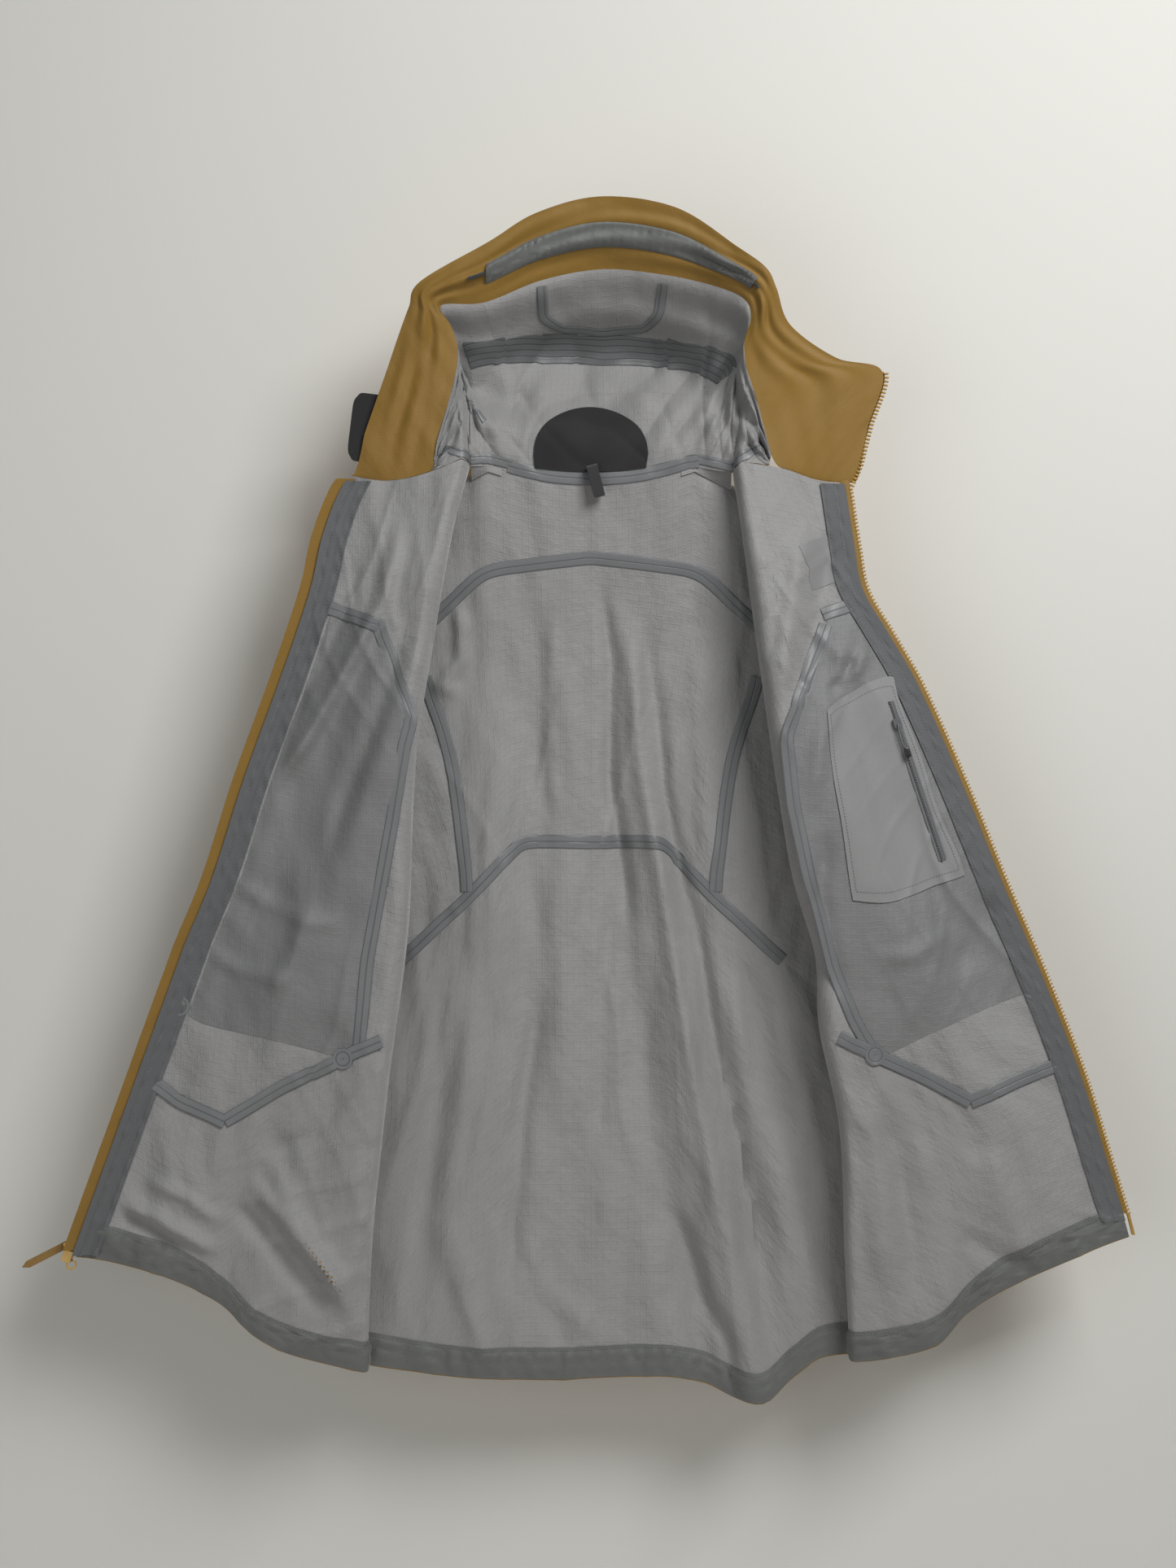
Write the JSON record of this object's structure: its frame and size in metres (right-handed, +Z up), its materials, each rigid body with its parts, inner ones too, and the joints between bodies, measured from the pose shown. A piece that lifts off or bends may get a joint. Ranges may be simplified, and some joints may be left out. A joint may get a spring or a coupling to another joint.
{
  "type": "hardshell jacket",
  "caption": "Hooded waterproof shell jacket hung wide open by its neck loop, inside to the front, with a two-way front zip, taped seams, an inner zipped pocket and sleeves behind.",
  "frame": {"origin": "middle of the back neck seam, where the hang loop is sewn in", "axes": "+Z up the hanging jacket, +X to the wearer's left, +Y away from the open fronts, toward the wall it hangs on"},
  "size_m": [0.9153, 0.1332, 0.9817],
  "materials": {
    "shell_inside": "light grey knit backer of the laminate, faint grid, satin",
    "pocket_cloth": "smooth grey stretch cloth",
    "shell_outside": "mustard gold plain-weave nylon, satin",
    "seam_tape": "blue-grey bonded tape, slightly shiny",
    "facing_grey": "dark grey doubled shell cloth",
    "zip_tape": "woven grey-blue tape",
    "zip_teeth": "moulded gold acetal",
    "gold_metal": "gold lacquer",
    "grey_metal": "grey lacquer",
    "coil_grey": "nylon coil",
    "coil_gold": "laminated nylon coil",
    "pull_grey": "grey cord pull",
    "pull_gold": "gold cord pull",
    "black_webbing": "black polyester webbing and cord",
    "black_knit": "black brushed knit",
    "black_plastic": "moulded black acetal"
  },
  "bodies": {
    "jacket": {"back_yoke_panel": "shell_inside", "back_centre_panel": "shell_inside", "back_lower_panel": "shell_inside", "right_front_panel": "shell_inside", "right_shoulder_panel": "shell_inside", "right_side_panel": "shell_inside", "right_front_lower_panel": "shell_inside", "left_front_panel": "shell_inside", "left_shoulder_panel": "shell_inside", "left_side_panel": "shell_inside", "left_front_lower_panel": "shell_inside", "right_sleeve": "shell_outside", "right_cuff": "shell_outside", "left_sleeve": "shell_outside", "left_cuff": "shell_outside", "right_collar_facing": "shell_outside", "hood_brim": "shell_outside", "left_collar_facing": "shell_outside", "right_hood_side_panel": "shell_inside", "left_hood_side_panel": "shell_inside", "collar_back_panel": "shell_inside", "hood_crown_panel": "shell_inside", "yoke_seam_tape": "seam_tape", "waist_seam_tape": "seam_tape", "right_princess_tape": "seam_tape", "left_princess_tape": "seam_tape", "hem_facing": "facing_grey", "right_zip_flap": "shell_outside", "right_zip_placket": "zip_tape", "left_zip_placket": "zip_tape", "right_zip_tape": "zip_tape", "right_zip_teeth": "zip_teeth", "left_zip_teeth": "zip_teeth", "zip_insertion_pin": "zip_teeth", "zip_retaining_pin": "zip_teeth", "inner_pocket_panel": "pocket_cloth", "inner_pocket_zip_coil": "coil_grey", "right_hand_pocket_zip_coil": "coil_gold", "left_hand_pocket_zip_coil": "coil_gold", "brim_cord_tunnel": "facing_grey", "hood_brim_cord": "black_webbing", "hood_cord_lock": "black_plastic", "neck_label": "black_knit", "hang_loop": "black_webbing", "chin_guard": "black_knit"},
    "lower_slider": {"lower_zip_slider": "gold_metal"},
    "lower_pull": {"lower_slider_pull": "gold_metal"},
    "upper_slider": {"upper_zip_slider": "gold_metal"},
    "upper_pull": {"upper_slider_pull": "gold_metal"},
    "pull_strap": {"zip_pull_strap": "shell_outside"},
    "inner_pocket_slider": {"inner_pocket_zip_slider": "grey_metal"},
    "inner_pocket_pull": {"inner_pocket_zip_pull": "pull_grey"},
    "right_hand_pocket_slider": {"right_hand_pocket_zip_slider": "gold_metal"},
    "right_hand_pocket_pull": {"right_hand_pocket_zip_pull": "pull_gold"},
    "left_hand_pocket_slider": {"left_hand_pocket_zip_slider": "gold_metal"},
    "left_hand_pocket_pull": {"left_hand_pocket_zip_pull": "pull_gold"},
    "cord_lock_button": {"hood_cord_lock_button": "black_plastic"},
    "right_cuff_tab": {"right_cuff_tab": "black_webbing"},
    "left_cuff_tab": {"left_cuff_tab": "black_webbing"}
  },
  "joints": [
    {"name": "lower_slider_travel", "type": "slide", "parent": "jacket", "child": "lower_slider", "axis": [0.3404, 0, 0.9403], "range_m": [0, 0.12]},
    {"name": "lower_pull_swing", "type": "hinge", "parent": "lower_slider", "child": "lower_pull", "pos_m": [-0.42895, 0.00215, -0.6435], "axis": [1, 0, 0], "range_deg": [0, 100]},
    {"name": "upper_slider_travel", "type": "slide", "parent": "lower_slider", "child": "upper_slider", "axis": [0.3404, 0, 0.9403], "range_m": [0, 0.13]},
    {"name": "upper_pull_swing", "type": "hinge", "parent": "upper_slider", "child": "upper_pull", "pos_m": [-0.42671, 0.0021, -0.63116], "axis": [0.44, 0, -0.898], "range_deg": [0, 150]},
    {"name": "pull_strap_swing", "type": "hinge", "parent": "upper_pull", "child": "pull_strap", "pos_m": [-0.43344, 0.00365, -0.63446], "axis": [0, 1, 0], "range_deg": [-90, 60]},
    {"name": "inner_pocket_slider_travel", "type": "slide", "parent": "jacket", "child": "inner_pocket_slider", "axis": [0.3184, 0.0132, -0.9479], "range_m": [0, 0.11]},
    {"name": "inner_pocket_pull_swing", "type": "hinge", "parent": "inner_pocket_slider", "child": "inner_pocket_pull", "pos_m": [0.24907, -0.02058, -0.20407], "axis": [-0.948, 0, -0.3184], "range_deg": [0, 160]},
    {"name": "right_hand_pocket_slider_travel", "type": "slide", "parent": "jacket", "child": "right_hand_pocket_slider", "axis": [-0.1278, 0.0019, -0.9918], "range_m": [0, 0.148]},
    {"name": "right_hand_pocket_pull_swing", "type": "hinge", "parent": "right_hand_pocket_slider", "child": "right_hand_pocket_pull", "pos_m": [-0.18045, -0.0201, -0.21293], "axis": [0.9918, 0, -0.1278], "range_deg": [0, 50]},
    {"name": "left_hand_pocket_slider_travel", "type": "slide", "parent": "jacket", "child": "left_hand_pocket_slider", "axis": [0.2431, 0.0028, -0.97], "range_m": [0, 0.148]},
    {"name": "left_hand_pocket_pull_swing", "type": "hinge", "parent": "left_hand_pocket_slider", "child": "left_hand_pocket_pull", "pos_m": [0.18811, -0.02034, -0.21275], "axis": [0.97, 0, 0.2431], "range_deg": [0, 50]},
    {"name": "cord_lock_press", "type": "slide", "parent": "jacket", "child": "cord_lock_button", "axis": [-1, 0, 0], "range_m": [0, 0.003], "stiffness_N_per_m": 350},
    {"name": "right_cuff_tab_peel", "type": "hinge", "parent": "jacket", "child": "right_cuff_tab", "pos_m": [-0.199, 0.0863, -0.6555], "axis": [0, 0, -1], "range_deg": [0, 120]},
    {"name": "left_cuff_tab_peel", "type": "hinge", "parent": "jacket", "child": "left_cuff_tab", "pos_m": [0.199, 0.0863, -0.6555], "axis": [0, 0, 1], "range_deg": [0, 120]}
  ]
}
